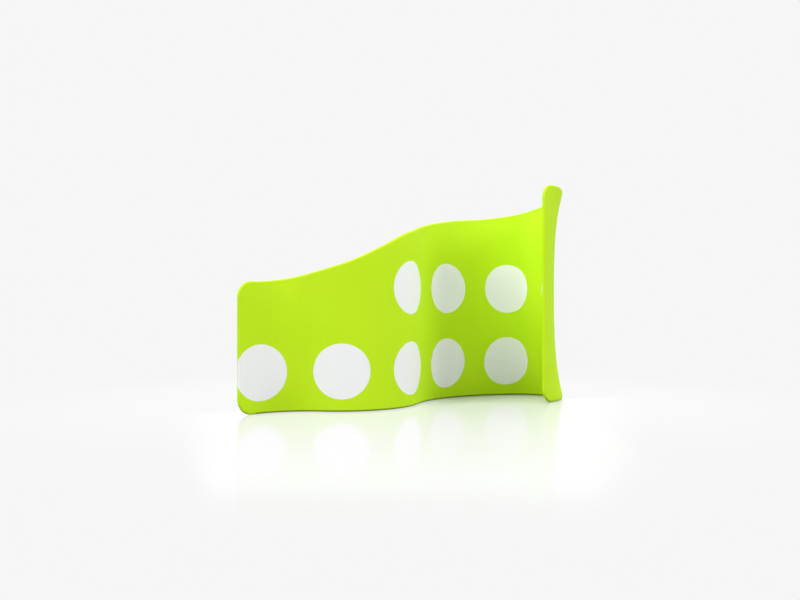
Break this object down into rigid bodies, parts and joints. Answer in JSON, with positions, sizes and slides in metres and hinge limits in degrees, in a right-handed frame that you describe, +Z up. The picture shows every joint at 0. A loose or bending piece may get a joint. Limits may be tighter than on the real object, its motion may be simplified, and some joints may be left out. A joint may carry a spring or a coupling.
{
  "type": "curved display backdrop",
  "caption": "Free-standing serpentine display wall: a bent tube frame inside a zipped stretch fabric cover, stepping up to a wrapped niche.",
  "frame": {"origin": "on the floor under the middle of the footprint's bounding box", "axes": "+X right along the wall's length, +Y away from the viewer, +Z up"},
  "size_m": [3.3332, 1.9006, 2.325],
  "materials": {
    "frame_tube": "extruded and clear anodised",
    "spigot": "mill finish, drawn",
    "saddle": "moulded, fine texture",
    "hardware": "zinc plated",
    "spring_steel": "rolled and tempered",
    "cover_fabric": "knitted stretch polyester, dye-printed with large pale dots",
    "hem_binding": "folded and overlocked stretch polyester",
    "zip_tape": "woven polyester tape",
    "zip_teeth": "nylon coil",
    "zip_metal": "die cast, nickel plated"
  },
  "bodies": {
    "frame": {"bottom_rail_1": "frame_tube", "bottom_rail_2": "frame_tube", "bottom_rail_3": "frame_tube", "bottom_rail_4": "frame_tube", "bottom_rail_5": "frame_tube", "top_rail_1": "frame_tube", "top_rail_2": "frame_tube", "top_rail_3": "frame_tube", "top_rail_4": "frame_tube", "top_rail_5": "frame_tube", "corner_left_bottom": "frame_tube", "corner_left_top": "frame_tube", "corner_right_bottom": "frame_tube", "corner_right_top": "frame_tube", "left_post": "frame_tube", "right_post_lower": "frame_tube", "right_post_upper": "frame_tube", "upright_1": "frame_tube", "upright_2_lower": "frame_tube", "upright_2_upper": "frame_tube", "bottom_spigots": "spigot", "top_spigots": "spigot", "post_spigots": "spigot", "spigot_rivets": "hardware", "bottom_saddles": "saddle", "top_saddles": "saddle", "button_springs": "spring_steel", "front_panel": "cover_fabric", "back_panel": "cover_fabric", "bottom_hem": "hem_binding", "zip_tape_upper": "zip_tape", "zip_tape_lower": "zip_tape", "zip_chain": "zip_teeth", "zip_stops": "zip_metal"},
    "button_1": {"snap_button_1": "hardware"},
    "button_2": {"snap_button_2": "hardware"},
    "button_3": {"snap_button_3": "hardware"},
    "button_4": {"snap_button_4": "hardware"},
    "button_5": {"snap_button_5": "hardware"},
    "button_6": {"snap_button_6": "hardware"},
    "button_7": {"snap_button_7": "hardware"},
    "button_8": {"snap_button_8": "hardware"},
    "button_9": {"snap_button_9": "hardware"},
    "button_10": {"snap_button_10": "hardware"},
    "button_11": {"snap_button_11": "hardware"},
    "button_12": {"snap_button_12": "hardware"},
    "button_13": {"snap_button_13": "hardware"},
    "button_14": {"snap_button_14": "hardware"},
    "button_15": {"snap_button_15": "hardware"},
    "button_16": {"snap_button_16": "hardware"},
    "button_17": {"snap_button_17": "hardware"},
    "button_18": {"snap_button_18": "hardware"},
    "slider": {"zip_slider": "zip_metal"},
    "pull": {"zip_pull": "zip_metal"}
  },
  "joints": [
    {"name": "button_1_press", "type": "slide", "parent": "frame", "child": "button_1", "axis": [0, 0, -1], "range_m": [0, 0.005], "stiffness_N_per_m": 1500, "springref_m": -0.002, "deforming": ["button_springs"]},
    {"name": "button_2_press", "type": "slide", "parent": "frame", "child": "button_2", "axis": [0, 0, -1], "range_m": [0, 0.005], "stiffness_N_per_m": 1500, "springref_m": -0.002, "deforming": ["button_springs"]},
    {"name": "button_3_press", "type": "slide", "parent": "frame", "child": "button_3", "axis": [0, 0, -1], "range_m": [0, 0.005], "stiffness_N_per_m": 1500, "springref_m": -0.002, "deforming": ["button_springs"]},
    {"name": "button_4_press", "type": "slide", "parent": "frame", "child": "button_4", "axis": [0, 0, -1], "range_m": [0, 0.005], "stiffness_N_per_m": 1500, "springref_m": -0.002, "deforming": ["button_springs"]},
    {"name": "button_5_press", "type": "slide", "parent": "frame", "child": "button_5", "axis": [-0.2741, 0.0434, 0.9607], "range_m": [0, 0.005], "stiffness_N_per_m": 1500, "springref_m": -0.002, "deforming": ["button_springs"]},
    {"name": "button_6_press", "type": "slide", "parent": "frame", "child": "button_6", "axis": [-0.0588, -0.202, 0.9776], "range_m": [0, 0.005], "stiffness_N_per_m": 1500, "springref_m": -0.002, "deforming": ["button_springs"]},
    {"name": "button_7_press", "type": "slide", "parent": "frame", "child": "button_7", "axis": [-0.086, -0.0666, 0.9941], "range_m": [0, 0.005], "stiffness_N_per_m": 1500, "springref_m": -0.002, "deforming": ["button_springs"]},
    {"name": "button_8_press", "type": "slide", "parent": "frame", "child": "button_8", "axis": [-0.2314, 0.0041, 0.9729], "range_m": [0, 0.005], "stiffness_N_per_m": 1500, "springref_m": -0.002, "deforming": ["button_springs"]},
    {"name": "button_9_press", "type": "slide", "parent": "frame", "child": "button_9", "axis": [0, 0, -1], "range_m": [0, 0.005], "stiffness_N_per_m": 1500, "springref_m": -0.002, "deforming": ["button_springs"]},
    {"name": "button_10_press", "type": "slide", "parent": "frame", "child": "button_10", "axis": [-0.7133, -0.7009, 0], "range_m": [0, 0.005], "stiffness_N_per_m": 1500, "springref_m": -0.002, "deforming": ["button_springs"]},
    {"name": "button_11_press", "type": "slide", "parent": "frame", "child": "button_11", "axis": [0, 0, 1], "range_m": [0, 0.005], "stiffness_N_per_m": 1500, "springref_m": -0.002, "deforming": ["button_springs"]},
    {"name": "button_12_press", "type": "slide", "parent": "frame", "child": "button_12", "axis": [-0.7133, -0.7009, 0], "range_m": [0, 0.005], "stiffness_N_per_m": 1500, "springref_m": -0.002, "deforming": ["button_springs"]},
    {"name": "button_13_press", "type": "slide", "parent": "frame", "child": "button_13", "axis": [0, 0, -1], "range_m": [0, 0.005], "stiffness_N_per_m": 1500, "springref_m": -0.002, "deforming": ["button_springs"]},
    {"name": "button_14_press", "type": "slide", "parent": "frame", "child": "button_14", "axis": [-0.6756, -0.7373, 0], "range_m": [0, 0.005], "stiffness_N_per_m": 1500, "springref_m": -0.002, "deforming": ["button_springs"]},
    {"name": "button_15_press", "type": "slide", "parent": "frame", "child": "button_15", "axis": [0, 0, 1], "range_m": [0, 0.005], "stiffness_N_per_m": 1500, "springref_m": -0.002, "deforming": ["button_springs"]},
    {"name": "button_16_press", "type": "slide", "parent": "frame", "child": "button_16", "axis": [-0.6756, -0.7373, 0], "range_m": [0, 0.005], "stiffness_N_per_m": 1500, "springref_m": -0.002, "deforming": ["button_springs"]},
    {"name": "button_17_press", "type": "slide", "parent": "frame", "child": "button_17", "axis": [-0.6756, -0.7373, 0], "range_m": [0, 0.005], "stiffness_N_per_m": 1500, "springref_m": -0.002, "deforming": ["button_springs"]},
    {"name": "button_18_press", "type": "slide", "parent": "frame", "child": "button_18", "axis": [0.3772, 0.9261, 0], "range_m": [0, 0.005], "stiffness_N_per_m": 1500, "springref_m": -0.002, "deforming": ["button_springs"]},
    {"name": "zip_run", "type": "hinge", "parent": "frame", "child": "slider", "pos_m": [-1.02248, -1.29865, 0.0342], "axis": [0, 0, -1], "range_deg": [0, 52]},
    {"name": "zip_pull_flip", "type": "hinge", "parent": "slider", "child": "pull", "pos_m": [-1.51396, -0.76906, 0.0342], "axis": [0, 0, 1], "range_deg": [0, 170]}
  ]
}
